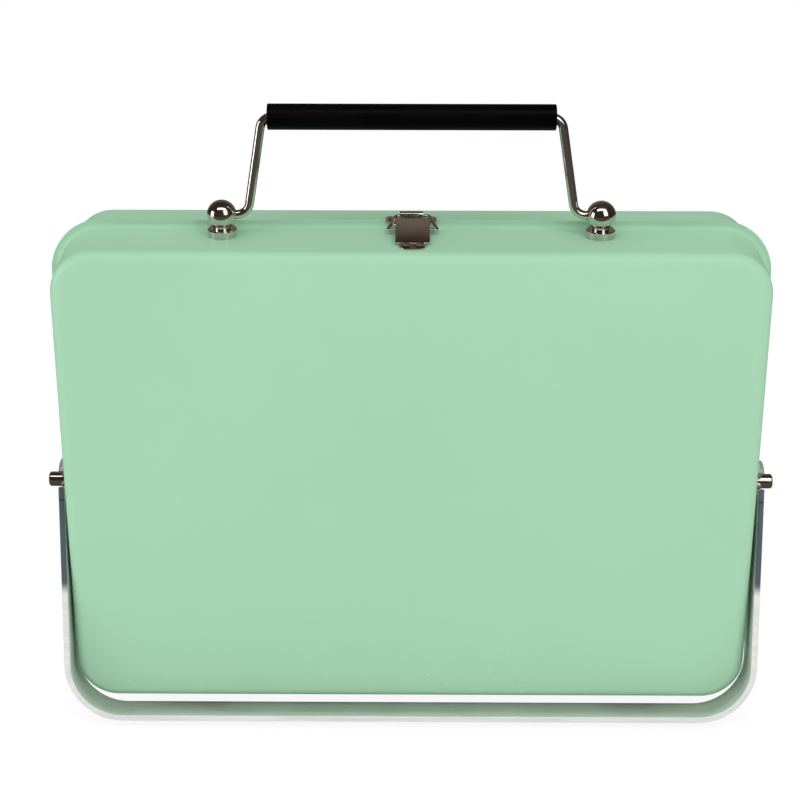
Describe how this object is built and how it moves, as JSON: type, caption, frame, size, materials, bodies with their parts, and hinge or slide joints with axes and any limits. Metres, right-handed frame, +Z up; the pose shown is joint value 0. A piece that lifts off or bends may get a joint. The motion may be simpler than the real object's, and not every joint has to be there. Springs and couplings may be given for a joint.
{
  "type": "folding suitcase barbecue",
  "caption": "Flat steel suitcase barbecue that hinges open into two charcoal trays with wire grates, on fold-out U stands, with a bail handle and a draw latch.",
  "frame": {"origin": "centre of the bounding box at the floor, with the case standing closed on its stands", "axes": "+X to the right across the case, +Y to the rear half, +Z up; the front half with the handle and latch lever is on -Y"},
  "size_m": [0.3496, 0.089, 0.303],
  "materials": {
    "mint_powder_coat": "satin powder coat",
    "stand_aluminium": "satin, brushed along the strip",
    "nickel_plate": "polished nickel plate",
    "black_grip": "smooth, slightly glossy",
    "zinc_plate": "dull zinc plate",
    "tray_steel": "galvanised sheet",
    "grate_chrome": "bright chrome wire"
  },
  "bodies": {
    "front_half": {"front_shell": "mint_powder_coat", "front_hinge_leaf_left": "zinc_plate", "front_hinge_leaf_right": "zinc_plate", "front_hinge_rivets": "zinc_plate", "hinge_pin_left": "zinc_plate", "hinge_pin_right": "zinc_plate", "front_stand_pins": "nickel_plate", "front_pin_nuts": "zinc_plate", "handle_stud_left": "nickel_plate", "handle_stud_right": "nickel_plate", "handle_stud_screws": "zinc_plate", "latch_base": "nickel_plate", "latch_base_rivets": "nickel_plate", "latch_lever_pin": "nickel_plate", "front_charcoal_tray": "tray_steel", "front_tray_spacers": "tray_steel", "front_grate_frame": "grate_chrome", "front_grate_bars": "grate_chrome", "front_grate_clips": "tray_steel"},
    "rear_half": {"rear_shell": "mint_powder_coat", "rear_hinge_leaf_left": "zinc_plate", "rear_hinge_leaf_right": "zinc_plate", "rear_hinge_rivets": "zinc_plate", "rear_stand_pins": "nickel_plate", "rear_pin_nuts": "zinc_plate", "latch_catch": "nickel_plate", "latch_catch_rivets": "nickel_plate", "rear_charcoal_tray": "tray_steel", "rear_tray_spacers": "tray_steel", "rear_grate_frame": "grate_chrome", "rear_grate_bars": "grate_chrome", "rear_grate_clips": "tray_steel"},
    "front_stand": {"front_stand": "stand_aluminium"},
    "rear_stand": {"rear_stand": "stand_aluminium"},
    "handle": {"handle_wire": "nickel_plate", "handle_grip": "black_grip"},
    "latch_lever": {"latch_lever": "nickel_plate"},
    "latch_wire": {"latch_wire": "nickel_plate"}
  },
  "joints": [
    {"name": "case_open", "type": "hinge", "parent": "front_half", "child": "rear_half", "pos_m": [0, 0.007, 0.0034], "axis": [-1, 0, 0], "range_deg": [0, 180]},
    {"name": "front_stand_swing", "type": "hinge", "parent": "front_half", "child": "front_stand", "pos_m": [0, -0.01175, 0.1202], "axis": [-1, 0, 0], "range_deg": [-11, 79]},
    {"name": "rear_stand_swing", "type": "hinge", "parent": "rear_half", "child": "rear_stand", "pos_m": [0, 0.02575, 0.1202], "axis": [1, 0, 0], "range_deg": [0, 90]},
    {"name": "handle_swing", "type": "hinge", "parent": "front_half", "child": "handle", "pos_m": [0, -0.00459, 0.2513], "axis": [1, 0, 0], "range_deg": [-92, 105]},
    {"name": "latch_lever_swing", "type": "hinge", "parent": "front_half", "child": "latch_lever", "pos_m": [0.0006, 0.0025, 0.2444], "axis": [-1, 0, 0], "range_deg": [0, 115]},
    {"name": "latch_wire_swing", "type": "hinge", "parent": "latch_lever", "child": "latch_wire", "pos_m": [0.0006, -0.0023, 0.2434], "axis": [-1, 0, 0], "range_deg": [-80.5, 0]}
  ],
  "couplings": [
    {"joint": "latch_wire_swing", "follows": "latch_lever_swing", "ratio": -0.7}
  ]
}
